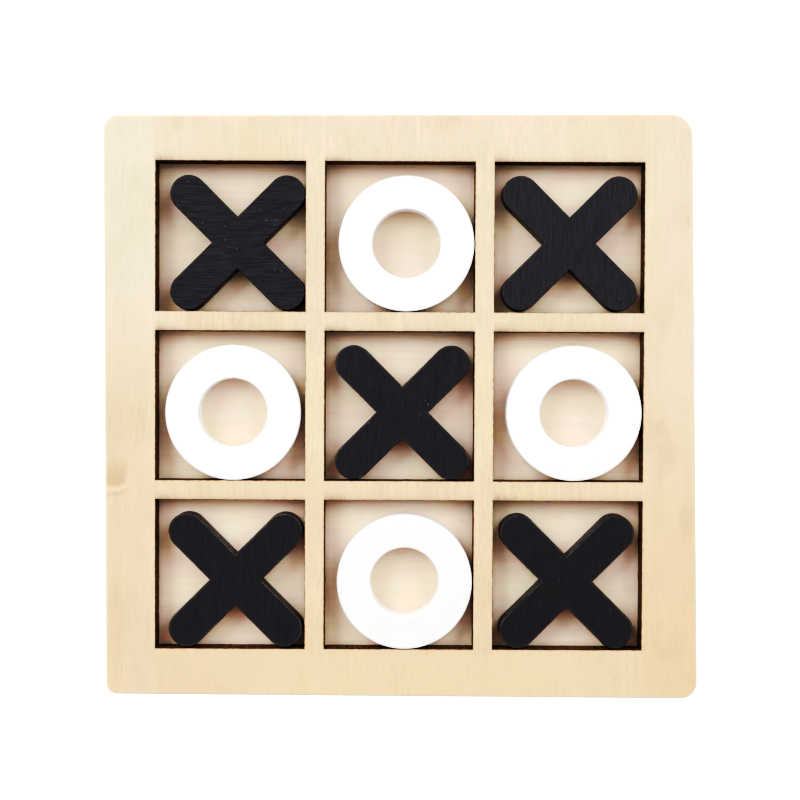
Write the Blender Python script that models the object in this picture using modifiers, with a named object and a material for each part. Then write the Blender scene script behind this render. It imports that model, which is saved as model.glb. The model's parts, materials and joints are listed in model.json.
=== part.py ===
"""Tic tac toe set in thin wood.

A square game board made of two layers, a solid base board and a grid frame
with nine square windows, and nine flat loose pieces that lie in the windows
with their faces flush with the frame: five crosses and four rings.

Units are metres, +Z is up.  The origin is on the underside, below the centre of
the middle window, +X runs to the right and +Y towards the far edge of a player
who reads the board.
"""
import math

import bmesh
import bpy

MM = 0.001

# ---- board -----------------------------------------------------------------
# The blank is a little out of square with its windows, and widens towards the
# near edge: its four sharp corners, anticlockwise, and how far each is rounded.
BOARD_CORNERS = (
    # x,           y,            radius
    (69.28 * MM,   69.73 * MM,   5.3 * MM),   # far right
    (-70.52 * MM,  68.86 * MM,   3.5 * MM),   # far left
    (-69.89 * MM,  -69.17 * MM,  2.7 * MM),   # near left
    (71.65 * MM,   -69.73 * MM,  4.0 * MM),   # near right
)
BASE_THICK = 3.0 * MM
GLUE_LINE = 0.2 * MM               # gap left between the two layers
GRID_THICK = 4.8 * MM
UPPER_Z = BASE_THICK + GLUE_LINE   # underside of the grid frame and the pieces
BOARD_EDGE = 0.4 * MM              # softening of the outer edge of both layers

# ---- windows ---------------------------------------------------------------
CELLS = 3                          # windows per side
PITCH = 40.26 * MM                 # centre to centre
WINDOW = 35.64 * MM                # side of one square window

# ---- pieces ----------------------------------------------------------------
PIECE_THICK = GRID_THICK           # cut from the same sheet
PIECE_EDGE = 0.3 * MM              # softening of both rims
RING_OUTER_R = 16.12 * MM
RING_INNER_R = 8.15 * MM
CROSS_ARM_R = 4.4 * MM             # half the width of an arm, and its round tip
CROSS_TIP = 16.45 * MM             # centre of the cross to the centre of a tip

# How each piece lies: its window (column, row from the near left), its offset
# from the window's centre, and its turn about the vertical in degrees.
LAYOUT = (
    # name,                    kind,  col, row, dx,        dy,         turn
    ("x_piece_top_left",      "cross",  0, 2,   1.66 * MM, -1.52 * MM, 90.0),
    ("o_piece_top_middle",    "ring",   1, 2,   1.54 * MM, -1.57 * MM, 0.0),
    ("x_piece_top_right",     "cross",  2, 2,   0.05 * MM, -1.38 * MM, 0.0),
    ("o_piece_middle_left",   "ring",   0, 1,   0.66 * MM, -1.64 * MM, 0.0),
    ("x_piece_centre",        "cross",  1, 1,   0.72 * MM, -1.46 * MM, 0.0),
    ("o_piece_middle_right",  "ring",   2, 1,   1.36 * MM, -1.52 * MM, 0.0),
    ("x_piece_bottom_left",   "cross",  0, 0,   1.33 * MM, -1.40 * MM, 0.0),
    ("o_piece_bottom_middle", "ring",   1, 0,   1.38 * MM, -1.64 * MM, 0.0),
    ("x_piece_bottom_right",  "cross",  2, 0,  -0.14 * MM, -1.50 * MM, 0.0),
)

# ---- resolution ------------------------------------------------------------
CORNER_STEPS = 8
RING_OUTER_STEPS = 56
RING_INNER_STEPS = 36
TIP_STEPS = 12
BEVEL_SEGMENTS = 2

# ---- mesh tolerances ---------------------------------------------------------
TOLERANCE = 1e-6                   # distance below which two places are the same
RIM_ANGLE = math.radians(60)       # least angle between a flat face and a wall
SHARP_ANGLE = math.radians(35)     # steeper edges are shaded sharp


# ---- outlines, each a closed loop of (x, y) ----------------------------------
def arc(centre_x, centre_y, radius, start, end, steps):
    """Points on an arc from start to end degrees, both ends included."""
    points = []
    for i in range(steps + 1):
        angle = math.radians(start + (end - start) * i / steps)
        points.append((centre_x + radius * math.cos(angle),
                       centre_y + radius * math.sin(angle)))
    return points


def circle(radius, steps):
    """A full circle about the origin, without repeating its first point."""
    return arc(0.0, 0.0, radius, 0.0, 360.0, steps)[:-1]


def rounded_outline(corners, steps):
    """A convex outline, anticlockwise, from its sharp corners (x, y, radius)."""
    points = []
    for i, (x, y, radius) in enumerate(corners):
        before = corners[i - 1]
        after = corners[(i + 1) % len(corners)]
        heading_in = math.atan2(y - before[1], x - before[0])
        heading_out = math.atan2(after[1] - y, after[0] - x)
        turn = (heading_out - heading_in) % (2 * math.pi)
        # The arc's centre lies on the corner's bisector.
        inwards = heading_in + turn / 2 + math.pi / 2
        distance = radius / math.cos(turn / 2)
        points += arc(x + distance * math.cos(inwards), y + distance * math.sin(inwards),
                      radius, math.degrees(heading_in) - 90.0,
                      math.degrees(heading_in + turn) - 90.0, steps)
    return points


def square(centre_x, centre_y, side):
    half = side / 2
    return [(centre_x - half, centre_y - half), (centre_x + half, centre_y - half),
            (centre_x + half, centre_y + half), (centre_x - half, centre_y + half)]


def cross(tip, radius, steps):
    """Four arms on the diagonals, with round tips and sharp inner notches."""
    points = []
    for arm in range(4):
        heading = 45.0 + 90.0 * arm
        angle = math.radians(heading)
        points += arc(tip * math.cos(angle), tip * math.sin(angle), radius,
                      heading - 90.0, heading + 90.0, steps)
        notch = math.radians(heading + 45.0)
        points.append((radius * math.sqrt(2) * math.cos(notch),
                       radius * math.sqrt(2) * math.sin(notch)))
    return points


def window_centre(col, row):
    """Centre (x, y) of a window, counted from the near left."""
    first = -(CELLS - 1) / 2 * PITCH
    return first + col * PITCH, first + row * PITCH


# ---- materials ---------------------------------------------------------------
def paint_or_wood(name, colour, roughness):
    material = bpy.data.materials.new(name)
    material.use_nodes = True
    material.diffuse_color = (*colour, 1.0)
    shader = material.node_tree.nodes["Principled BSDF"]
    shader.inputs["Base Color"].default_value = (*colour, 1.0)
    shader.inputs["Roughness"].default_value = roughness
    shader.inputs["Metallic"].default_value = 0.0
    return material


# ---- meshes ------------------------------------------------------------------
def cut_sheet(name, loops, thickness):
    """A flat sheet cut to the outlines in loops: the first is the outside and
    the others are holes.  It is centred on z = 0."""
    curve = bpy.data.curves.new(name + "_outline", "CURVE")
    curve.dimensions = "2D"
    curve.fill_mode = "BOTH"
    curve.extrude = thickness / 2
    for loop in loops:
        spline = curve.splines.new("POLY")
        spline.points.add(len(loop) - 1)
        for point, (x, y) in zip(spline.points, loop):
            point.co = (x, y, 0.0, 1.0)
        spline.use_cyclic_u = True
    outline = bpy.data.objects.new(name + "_outline", curve)
    bpy.context.scene.collection.objects.link(outline)
    graph = bpy.context.evaluated_depsgraph_get()
    mesh = bpy.data.meshes.new_from_object(outline.evaluated_get(graph))
    mesh.name = name
    bpy.data.objects.remove(outline, do_unlink=True)
    return mesh


def sheet_mesh(name, loops, thickness, material, soft_levels, beyond=0.0):
    """A sheet as one closed solid, with the rims to soften marked for the bevel:
    those at a height in soft_levels that lie beyond that far from the middle,
    measured along x or y, whichever is greater."""
    mesh = cut_sheet(name, loops, thickness)
    sheet = bmesh.new()
    sheet.from_mesh(mesh)
    # The curve leaves its flat faces and side walls unjoined.
    bmesh.ops.remove_doubles(sheet, verts=sheet.verts, dist=TOLERANCE)
    bmesh.ops.recalc_face_normals(sheet, faces=sheet.faces)
    sheet.to_mesh(mesh)
    sheet.free()

    rims = bmesh.new()
    rims.from_mesh(mesh)
    weight = rims.edges.layers.float.new("bevel_weight_edge")
    for edge in rims.edges:
        start, end = (vert.co for vert in edge.verts)
        at_level = any(abs(start.z - level) < TOLERANCE for level in soft_levels)
        is_flat = abs(start.z - end.z) < TOLERANCE
        if not (at_level and is_flat and len(edge.link_faces) == 2):
            continue
        middle = (start + end) / 2
        is_beyond = max(abs(middle.x), abs(middle.y)) > beyond
        if is_beyond and edge.calc_face_angle() >= RIM_ANGLE:
            edge[weight] = 1.0
    rims.to_mesh(mesh)
    rims.free()

    mesh.materials.append(material)
    mesh.shade_smooth()
    mesh.set_sharp_from_angle(angle=SHARP_ANGLE)
    return mesh


def place(name, mesh, root, location, edge, turn=0.0):
    """An object under root, turned about the vertical, with its marked rims
    softened by edge."""
    obj = bpy.data.objects.new(name, mesh)
    root.users_collection[0].objects.link(obj)
    obj.parent = root
    obj.location = location
    obj.rotation_euler = (0.0, 0.0, math.radians(turn))
    bevel = obj.modifiers.new("softened_edge", "BEVEL")
    bevel.limit_method = "WEIGHT"
    bevel.width = edge
    bevel.segments = BEVEL_SEGMENTS
    bevel.use_clamp_overlap = True


# ---- the set -------------------------------------------------------------------
def add_base_board(outline, root):
    """One solid sheet, softened along its lower edge."""
    wood = paint_or_wood("base_wood", colour=(0.78, 0.62, 0.45), roughness=0.66)
    mesh = sheet_mesh("base_board", [outline], BASE_THICK, wood,
                      soft_levels=(-BASE_THICK / 2,))
    place("base_board", mesh, root, (0.0, 0.0, BASE_THICK / 2), BOARD_EDGE)


def add_grid_frame(outline, root):
    """The same outline with the windows cut through, softened along the outer
    edge of its top face.  The cut edges of the windows stay crisp."""
    wood = paint_or_wood("grid_wood", colour=(0.84, 0.66, 0.44), roughness=0.62)
    windows = [square(*window_centre(col, row), WINDOW)
               for row in range(CELLS) for col in range(CELLS)]
    mesh = sheet_mesh("grid_frame", [outline] + windows, GRID_THICK, wood,
                      soft_levels=(GRID_THICK / 2,), beyond=CELLS / 2 * PITCH)
    place("grid_frame", mesh, root, (0.0, 0.0, UPPER_Z + GRID_THICK / 2), BOARD_EDGE)


def cross_piece():
    paint = paint_or_wood("black_paint", colour=(0.012, 0.011, 0.014), roughness=0.55)
    return sheet_mesh("cross_piece", [cross(CROSS_TIP, CROSS_ARM_R, TIP_STEPS)],
                      PIECE_THICK, paint, soft_levels=(-PIECE_THICK / 2, PIECE_THICK / 2))


def ring_piece():
    paint = paint_or_wood("white_paint", colour=(0.88, 0.88, 0.86), roughness=0.45)
    loops = [circle(RING_OUTER_R, RING_OUTER_STEPS), circle(RING_INNER_R, RING_INNER_STEPS)]
    return sheet_mesh("ring_piece", loops, PIECE_THICK, paint,
                      soft_levels=(-PIECE_THICK / 2, PIECE_THICK / 2))


def add_pieces(root):
    """All crosses share one mesh, and all rings another."""
    meshes = {"cross": cross_piece(), "ring": ring_piece()}
    for name, kind, col, row, dx, dy, turn in LAYOUT:
        x, y = window_centre(col, row)
        place(name, meshes[kind], root, (x + dx, y + dy, UPPER_Z + PIECE_THICK / 2),
              PIECE_EDGE, turn)


def build():
    for obj in list(bpy.data.objects):
        bpy.data.objects.remove(obj, do_unlink=True)

    parts = bpy.data.collections.new("tic_tac_toe_set")
    bpy.context.scene.collection.children.link(parts)
    root = bpy.data.objects.new("board_origin", None)
    root.empty_display_size = 0.02
    parts.objects.link(root)

    outline = rounded_outline(BOARD_CORNERS, CORNER_STEPS)
    add_base_board(outline, root)
    add_grid_frame(outline, root)
    add_pieces(root)
    bpy.context.view_layer.update()


build()
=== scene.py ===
"""A wooden noughts-and-crosses board with five black crosses and four white rings.

The board lies flat, centred on the origin: +X is right, +Y is the far side, +Z is up.
A grid sheet with nine square windows is glued onto a solid base board, and the pieces
lie in the windows. Lengths are in millimetres unless a comment says otherwise, and
meshes are written in metres.
"""
import json
import math

import bmesh
import bpy
import numpy as np
from mathutils import Matrix, Vector, noise


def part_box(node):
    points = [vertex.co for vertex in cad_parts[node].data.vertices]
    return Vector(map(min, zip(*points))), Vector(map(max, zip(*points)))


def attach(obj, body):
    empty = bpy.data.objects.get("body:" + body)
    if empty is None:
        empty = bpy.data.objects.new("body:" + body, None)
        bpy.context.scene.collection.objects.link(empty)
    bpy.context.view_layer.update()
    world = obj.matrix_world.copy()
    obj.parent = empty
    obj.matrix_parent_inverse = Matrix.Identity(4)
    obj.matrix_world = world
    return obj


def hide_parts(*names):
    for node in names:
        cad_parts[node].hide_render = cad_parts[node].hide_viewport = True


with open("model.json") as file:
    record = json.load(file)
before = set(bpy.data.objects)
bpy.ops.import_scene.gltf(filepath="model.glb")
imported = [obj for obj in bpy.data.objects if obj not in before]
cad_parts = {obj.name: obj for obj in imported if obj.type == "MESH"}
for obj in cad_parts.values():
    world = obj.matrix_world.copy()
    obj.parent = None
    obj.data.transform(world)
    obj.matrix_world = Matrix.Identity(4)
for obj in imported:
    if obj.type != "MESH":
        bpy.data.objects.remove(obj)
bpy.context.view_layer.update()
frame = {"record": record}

MM = 0.001               # metres in a millimetre


def node_box(node):
    lo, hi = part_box(node)
    return np.array(lo) / MM, np.array(hi) / MM


# ------------------------------------------------------------------ sizes
PITCH = 40.26            # window centre to window centre
WINDOW = 35.64           # side of a window
CENTRES = (-PITCH, 0.0, PITCH)

# The blank is out of square with its windows: x, y of each sharp corner, and its radius.
FAR_RIGHT = (69.28, 69.73, 5.3)
FAR_LEFT = (-70.52, 68.86, 3.5)
NEAR_LEFT = (-69.89, -69.17, 2.7)
NEAR_RIGHT = (71.65, -69.73, 4.0)
HALF_X, HALF_Y = 70.0, 69.1    # the rectangle that the sheets are laid out on before the lean

TOP = node_box("grid_frame")[1][2]
FLOOR = node_box("base_board")[1][2]   # the floor of the windows
SEAM = FLOOR + 0.03                    # underside of the grid sheet
PIECE_LOW = FLOOR + 0.05               # underside of the pieces

CROSS_TIP = 16.45        # centre of a cross to the centre of a round tip
CROSS_ARM_R = 4.4        # half the width of an arm, and the radius of its tip
CROSS_ARRIS = 0.32       # radius of a cross's edges
RING_INNER_R = 8.15
RING_ARRIS = 0.25        # radius of a ring's edges

# Values of the edge-distance attributes where no worn edge is near
NO_RIM = 9.0
NO_EDGE = 3.0


# ------------------------------------------------------------------ tone
# The camera's contrast: light reaching it, light in the image (both linear)
TONE = (
    (0.0, 0.0), (0.03, 0.007), (0.06, 0.021), (0.09, 0.045), (0.12, 0.080),
    (0.15, 0.130), (0.18, 0.184), (0.22, 0.258), (0.26, 0.329), (0.31, 0.409),
    (0.36, 0.479), (0.43, 0.554), (0.50, 0.618), (0.60, 0.698), (0.70, 0.769),
    (0.85, 0.846), (0.95, 0.887), (1.02, 0.918), (1.06, 0.950), (1.10, 1.0),
)
# Shadows are a little bluer than lights: light in the blue channel, its gain
BLUE_LIFT = (
    (0.06, 1.0), (0.10, 1.01), (0.15, 1.068), (0.20, 1.084),
    (0.25, 1.088), (0.29, 1.057), (0.34, 1.026), (0.40, 1.0),
)
BLUE_TOP = 0.70          # light above which the blue channel is pinned back to a gain of 1
OPEN_LIGHT = 1.275       # light on an open horizontal surface


def seen(red, green, blue):
    """Reflectance of an open, level surface that renders as this 8-bit sRGB colour."""
    colour = np.array([red, green, blue], float) / 255
    linear = np.where(colour <= 0.04045, colour / 12.92, ((colour + 0.055) / 1.055) ** 2.4)
    light, shown = np.array(TONE).T
    reaching = np.interp(linear, shown, light)
    light, gain = np.array(BLUE_LIFT).T
    if light[0] < reaching[2] < light[-1]:
        reaching[2] = np.interp(reaching[2], light * gain, light)
    return tuple(float(channel) for channel in reaching / OPEN_LIGHT)


# ------------------------------------------------------------------ small maths
def smooth(start, end, x):
    t = np.clip((x - start) / (end - start), 0.0, 1.0)
    return t * t * (3 - 2 * t)


def wave(points, seed):
    """Smooth noise along a line, about -1..1: two octaves of three random sines."""
    rng = np.random.RandomState(seed)
    total, norm = np.zeros_like(points), 0.0
    for gain, octave in ((1.0, 1.0), (0.5, 2.07)):
        for _ in range(3):
            frequency = octave * rng.uniform(0.75, 1.35)
            phase = rng.uniform(0, 2 * math.pi)
            total += gain * np.sin(2 * math.pi * frequency * points + phase)
            norm += gain * 0.6
    return total / norm


def ripple(xy, scale, level, seed, octaves):
    """Fractal noise at N x 2 points, about -1..1, from the slice at height level."""
    return np.array([
        noise.fractal(Vector((x * scale + seed, y * scale - seed, level + 2 * seed)),
                      0.6, 2.1, octaves, noise_basis="PERLIN_ORIGINAL")
        for x, y in xy])


def arris(distance, radius):
    """Depth of a rounded edge at this distance in from the side."""
    distance = np.clip(distance, 0.0, radius)
    return radius - np.sqrt(np.maximum(radius ** 2 - (radius - distance) ** 2, 0.0))


# ------------------------------------------------------------------ mesh helper
def build(name, verts, faces, materials, attributes, sharp, index=None):
    """An object from millimetre vertices; sharp is the sharp-edge angle in degrees."""
    mesh = bpy.data.meshes.new(name)
    mesh.from_pydata((verts * MM).tolist(), [], [tuple(int(i) for i in face) for face in faces])
    for material in materials:
        mesh.materials.append(material)
    if index is not None:
        mesh.polygons.foreach_set("material_index", np.asarray(index, np.int32))
    for key, values in attributes.items():
        layer = mesh.attributes.new(key, "FLOAT", "POINT")
        layer.data.foreach_set("value", np.asarray(values, np.float32))
    mesh.validate(clean_customdata=False)
    mesh.update()
    mesh.shade_smooth()
    mesh.set_sharp_from_angle(angle=math.radians(sharp))
    obj = bpy.data.objects.new(name, mesh)
    bpy.context.scene.collection.objects.link(obj)
    return obj


# ------------------------------------------------------------------ shader helpers
class Value:
    """A shader output. Sums on it make Math nodes."""

    def __init__(self, graph, socket):
        self.graph = graph
        self.socket = socket

    def __add__(self, other):
        return self.graph.math("ADD", self, other)

    def __sub__(self, other):
        return self.graph.math("SUBTRACT", self, other)

    def __rsub__(self, other):
        return self.graph.math("SUBTRACT", other, self)

    def __mul__(self, other):
        return self.graph.math("MULTIPLY", self, other)

    def __truediv__(self, other):
        return self.graph.math("DIVIDE", self, other)

    def __abs__(self):
        return self.graph.math("ABSOLUTE", self)

    def max(self, other):
        return self.graph.math("MAXIMUM", self, other)

    def min(self, other):
        return self.graph.math("MINIMUM", self, other)

    def linear(self, slope, offset):
        """self * slope + offset, in one node"""
        return self.graph.math("MULTIPLY_ADD", self, slope, offset)

    def vary(self, amount):
        """A factor around 1: from 1 - amount at 0 to 1 + amount at 1."""
        return (self - 0.5).linear(2.0 * amount, 1.0)

    def ramp(self, start, end, out=(0.0, 1.0), kind="SMOOTHSTEP"):
        """Goes from out[0] at start to out[1] at end, and holds beyond them."""
        node = self.graph.node("ShaderNodeMapRange", enumerate((self, start, end, *out)),
                               interpolation_type=kind, clamp=True)
        return Value(self.graph, node.outputs[0])


class Material:
    """A Principled material whose x, y, z are object coordinates in millimetres."""

    def __init__(self, name):
        self.material = bpy.data.materials.new(name)
        self.material.use_nodes = True
        self.tree = self.material.node_tree
        self.shader = self.tree.nodes["Principled BSDF"]
        coordinates = self.output("ShaderNodeTexCoord", "Object")
        self.mm = self.scaled(coordinates, 1 / MM)
        self.x, self.y, self.z = self.split(self.mm)

    def put(self, socket, value):
        """Links a Value to the socket, or sets its default; None leaves it alone."""
        if isinstance(value, Value):
            self.tree.links.new(value.socket, socket)
        elif value is not None:
            if isinstance(value, tuple) and len(value) == 3 and len(socket.default_value) == 4:
                value = (*value, 1.0)
            socket.default_value = value

    def node(self, kind, inputs, **settings):
        """A new node; inputs are pairs of a socket's name or number and its value."""
        node = self.tree.nodes.new(kind)
        for key, setting in settings.items():
            setattr(node, key, setting)
        for key, value in inputs:
            self.put(node.inputs[key], value)
        return node

    def output(self, kind, name):
        """One output of a new node that needs no inputs."""
        return Value(self, self.tree.nodes.new(kind).outputs[name])

    def math(self, operation, *values):
        node = self.node("ShaderNodeMath", enumerate(values), operation=operation)
        return Value(self, node.outputs[0])

    def scaled(self, vector, factor):
        """A colour or vector times a scalar."""
        node = self.node("ShaderNodeVectorMath", ((0, vector), ("Scale", factor)),
                         operation="SCALE")
        return Value(self, node.outputs[0])

    def split(self, vector):
        node = self.node("ShaderNodeSeparateXYZ", ((0, vector),))
        return [Value(self, socket) for socket in node.outputs]

    def xyz(self, x, y, z=0.0):
        node = self.node("ShaderNodeCombineXYZ", enumerate((x, y, z)))
        return Value(self, node.outputs[0])

    def length(self, x, y):
        node = self.node("ShaderNodeVectorMath", ((0, self.xyz(x, y)),), operation="LENGTH")
        return Value(self, node.outputs["Value"])

    def stretch(self, x, y, z=1.0, shift=0.0, at_x=None, at_y=None):
        """The coordinates times x, y, z (cycles per mm), for drawn-out patterns.

        shift moves the pattern; at_x and at_y stand in for a coordinate."""
        return self.xyz((at_x or self.x).linear(x, shift),
                        (at_y or self.y).linear(y, shift * 0.37),
                        self.z.linear(z, -shift * 0.61))

    def noise_at(self, vector, scale=1.0, detail=2.0, rough=0.5, distortion=0.0):
        node = self.node("ShaderNodeTexNoise", (
            ("Vector", vector), ("Scale", scale), ("Detail", detail),
            ("Roughness", rough), ("Distortion", distortion)))
        return Value(self, node.outputs["Fac"])

    def noise(self, x, y, z=1.0, shift=0.0, at_x=None, at_y=None, **look):
        """Noise on stretched coordinates."""
        return self.noise_at(self.stretch(x, y, z, shift, at_x, at_y), **look)

    def cells(self, vector, scale):
        """Distance to the nearest of a scatter of points."""
        node = self.node("ShaderNodeTexVoronoi", (("Vector", vector), ("Scale", scale)))
        return Value(self, node.outputs["Distance"])

    def mix(self, factor, first, second):
        node = self.node("ShaderNodeMix", (), data_type="RGBA", clamp_factor=True)
        for key, value in ((0, factor), (6, first), (7, second)):
            self.put(node.inputs[key], value)
        return Value(self, node.outputs[2])

    def tint(self, colour, *layers):
        """Lays (amount, colour) layers over a colour, one after another."""
        for amount, layer in layers:
            colour = self.mix(amount, colour, layer)
        return colour

    def attribute(self, name):
        node = self.node("ShaderNodeAttribute", (), attribute_name=name)
        return Value(self, node.outputs["Fac"])

    def bump(self, height, depth, strength):
        """A bumped normal; depth is in millimetres."""
        node = self.node("ShaderNodeBump", (
            ("Strength", strength), ("Distance", depth * MM), ("Height", height)))
        return Value(self, node.outputs[0])

    def finish(self, **inputs):
        """Sets the shader's inputs, with _ for a space in their names."""
        for key, value in inputs.items():
            self.put(self.shader.inputs[key.replace("_", " ")], value)
        return self.material


# ------------------------------------------------------------------ wood
WOOD_SCATTER = (1.0, 0.45, 0.22)     # subsurface radius by channel


def window_distance(mat, axis):
    """Along one axis, the distance outwards from the nearest window's edge, and the
    signed distance from its centre."""
    cell = mat.math("ROUND", axis / PITCH).max(-1.0).min(1.0)
    local = axis - cell * PITCH
    return abs(local) - WINDOW / 2, local


def face_tints(mat, grain_x, near_border):
    """Colour of the grid's face: its broad bands and the tints of its regions."""
    x, y = mat.x, mat.y
    broad = mat.noise(x=0.13, y=0.0060, at_x=grain_x, detail=3.0, rough=0.55)
    blotch = mat.noise(x=0.050, y=0.040, shift=5.0)
    cloud = mat.noise(x=0.11, y=0.060, shift=12.0, detail=3.0)
    flame = mat.noise(x=0.075, y=0.028, at_x=grain_x, shift=15.0, distortion=0.5)
    smudge = mat.noise(x=0.13, y=0.085, shift=21.0, detail=3.0, distortion=0.2)

    upper_left = x.ramp(-56.0, -60.0) * y.ramp(0.0, 35.0)
    lower_right = x.ramp(56.0, 61.0) * y.ramp(-8.0, -45.0)
    near_middle = near_border * abs(x - 8.0).ramp(60.0, 30.0)
    upper_right = x.ramp(61.0, 63.5) * y.ramp(-8.0, 12.0)
    lower_left = x.ramp(-56.0, -59.0) * (x.ramp(-67.5, -63.0) * y.ramp(-2.0, -12.0))
    # the two bars that run with the grain
    along_bar = abs(abs(x) - 20.1).ramp(4.5, 1.5)
    # painted light: the middle of both bars is painted paler as a pool of light
    painted_light_bar_middle = along_bar * abs(y).ramp(19.0, 8.0)
    at_left = x.ramp(-57.5, -61.0)
    at_right = x.ramp(58.0, 62.0) * y.ramp(30.0, -10.0, out=(0.35, 1.0))

    # yellower and warmer towards the near edge
    colour = mat.mix(y.ramp(60.0, -66.0, kind="LINEAR"),
                     seen(248, 233, 207), seen(247, 225, 189))
    return mat.tint(
        colour,
        (broad.ramp(0.46, 0.70) * 0.42, seen(246, 222, 196)),       # pinker bands
        (blotch.ramp(0.56, 0.36) * 0.42, seen(240, 225, 182)),      # yellow blotches
        (cloud.ramp(0.56, 0.74) * 0.46, seen(250, 231, 205)),       # pale clouds
        (cloud.ramp(0.44, 0.28) * 0.42, seen(236, 213, 176)),       # dark clouds
        (upper_left * 0.6, seen(252, 240, 222)),                    # paler
        (lower_right * 0.5, seen(244, 220, 176)),                   # yellower
        (near_middle * 0.8, seen(251, 229, 190)),                   # paler
        (upper_right * 0.45, seen(250, 232, 210)),                  # pinker
        (lower_left * 0.5, seen(251, 229, 200)),                    # paler
        # painted light: a paler pool over the middle of the bars
        (painted_light_bar_middle * 0.65, seen(254, 235, 203)),                   # paler
        (flame.ramp(0.47, 0.62) * at_left * 0.22, seen(232, 216, 182)),
        (smudge.ramp(0.50, 0.66) * at_right * 0.42, seen(229, 207, 170)),
    )


def face_knot(mat, colour):
    """The knot at the left edge: a tan heart that deepens towards the near side, then a
    pale line, then a soft shade."""
    ragged = (mat.noise(x=0.40, y=0.40, shift=4.0) - 0.5) * 1.6
    knot_x = mat.x + ragged
    knot_y = (mat.y + ragged * 0.35) - mat.x.ramp(-67.2, -64.6, out=(0.0, 0.9))
    heart = (knot_y.ramp(-11.0, -18.2) * knot_y.ramp(-19.8, -18.6)
             * knot_x.ramp(-63.9, -66.1))
    pale = abs(knot_y + 20.05).ramp(0.75, 0.10) * knot_x.ramp(-64.4, -65.4)
    shade = abs(knot_y + 21.25).ramp(0.95, 0.15) * knot_x.ramp(-64.0, -65.6)
    return mat.tint(colour,
                    (heart * 0.92, seen(229, 203, 160)),
                    (pale * 0.85, seen(251, 229, 197)),
                    (shade * 0.75, seen(234, 211, 177)))


def face_brightness(mat, grain_x, near_border, fibre, hair, hairs):
    """Fine light and dark of the grid's face, as a factor around 1."""
    x, y = mat.x, mat.y
    bands = mat.noise(x=0.75, y=0.014, at_x=grain_x, shift=3.1, detail=3.0, rough=0.6)
    figure = mat.noise(x=0.30, y=0.10, at_x=grain_x, shift=2.2, distortion=0.6)
    value = bands.vary(0.080) * fibre.vary(0.072)
    # fine grit, stronger on the bars and the far border
    grit = abs(x).max(y * -1.0).ramp(57.5, 60.5, out=(0.21, 0.09))
    value = value * (hair - 0.5).linear(grit, 1.0)
    value = value * figure.vary(0.060)
    # short hatching where the blade crossed the early wood
    hatch = mat.noise(x=1.5, y=0.22, at_x=grain_x, shift=17.0, rough=0.6)
    hatch_patch = mat.noise(x=0.075, y=0.085, shift=19.0, detail=1.0)
    where = (hatch_patch.ramp(0.42, 0.58, out=(0.15, 1.0))
             * abs(x).ramp(62.0, 57.0, out=(0.5, 1.0)))
    value = value * (hatch.ramp(0.34, 0.66, out=(-1.0, 1.0)) * where).linear(0.058, 1.0)
    # the near and side borders are planed smoother
    calm = (near_border * 0.50).max(abs(x).ramp(59.0, 62.0) * 0.30)
    value = value * (1.0 - calm) + calm * 0.985
    return value * hairs.linear(-0.24, 1.0)


def face_smoke(mat, colour, grain_x):
    """Smoke and scorching from the laser around the windows."""
    out_x, local_x = window_distance(mat, mat.x)
    out_y, local_y = window_distance(mat, mat.y)
    edge = out_x.max(out_y)
    # smoke is drawn up the grain beyond each window's far edge
    above = local_y.ramp(0.0, 1.0) * out_x.ramp(0.5, -0.4)
    # dense at the left corner of each window and thin along the rest
    corner = (local_x + WINDOW / 2).ramp(7.0, 1.4, kind="LINEAR")
    uneven = mat.noise(x=0.50, y=0.10, shift=6.0, detail=3.0, rough=0.6)
    thick = (corner.linear(0.80, 0.52)
             * uneven.ramp(0.30, 0.70, out=(0.65, 1.30), kind="LINEAR"))
    outside = above * out_y.ramp(-0.2, 0.0)
    smoke = mat.math("EXPONENT", out_y * -1.12) * thick * outside
    # ticks: thin dark streaks, each with its own reach from the cut
    ticks = mat.noise(x=2.9, y=0.06, at_x=grain_x, shift=8.1, rough=0.75)
    reach = ticks.linear(3.6, -0.35)
    tick = (out_y / reach.max(0.05)).ramp(1.0, 0.15) * ticks.ramp(0.44, 0.66)
    tick = tick * outside * corner.linear(0.85, 0.15)
    # the scorched line right at the cut, and its halo
    wobble = mat.noise(x=0.9, y=0.9, shift=2.0, detail=3.0)
    burnt = (edge - wobble.linear(0.26, -0.06)).ramp(0.12, -0.05)
    halo = edge.ramp(0.60, 0.08, out=(0.0, 0.30))
    return mat.tint(colour,
                    (smoke.min(0.85), seen(203, 177, 136)),
                    (tick * 0.60, seen(170, 134, 92)),
                    (burnt, seen(50, 26, 14)),
                    (halo * wobble, seen(160, 120, 78)))


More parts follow.
